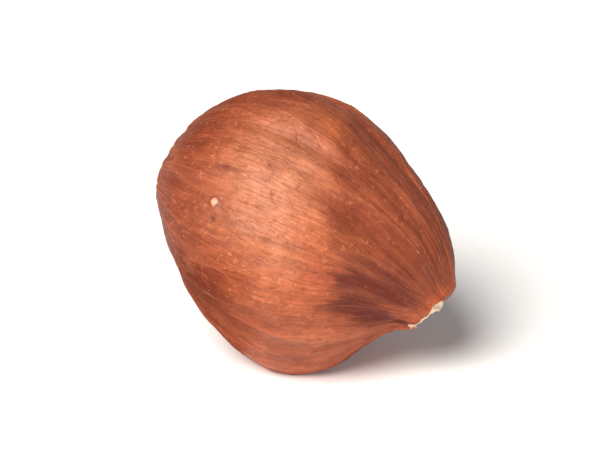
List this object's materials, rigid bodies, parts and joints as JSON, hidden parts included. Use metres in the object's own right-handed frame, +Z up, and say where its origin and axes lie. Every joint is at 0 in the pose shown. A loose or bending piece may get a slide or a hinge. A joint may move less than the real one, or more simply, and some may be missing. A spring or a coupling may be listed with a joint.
{
  "type": "hazelnut kernel",
  "caption": "Shelled hazelnut kernel with its brown ribbed skin on, a pale broken tip and a rough base, lying on its side.",
  "frame": {"origin": "on the surface that the kernel lies on, under the middle of its box", "axes": "+Z up; the tip points to +X, a little down and towards -Y, and the base points to -X"},
  "size_m": [0.0132, 0.0122, 0.0121],
  "materials": {
    "kernel_skin": "satin papery nut skin, reddish brown with fine darker and lighter streaks from base to tip, pale cream where the tip is broken"
  },
  "bodies": {
    "root": {"kernel": "kernel_skin"}
  },
  "joints": []
}
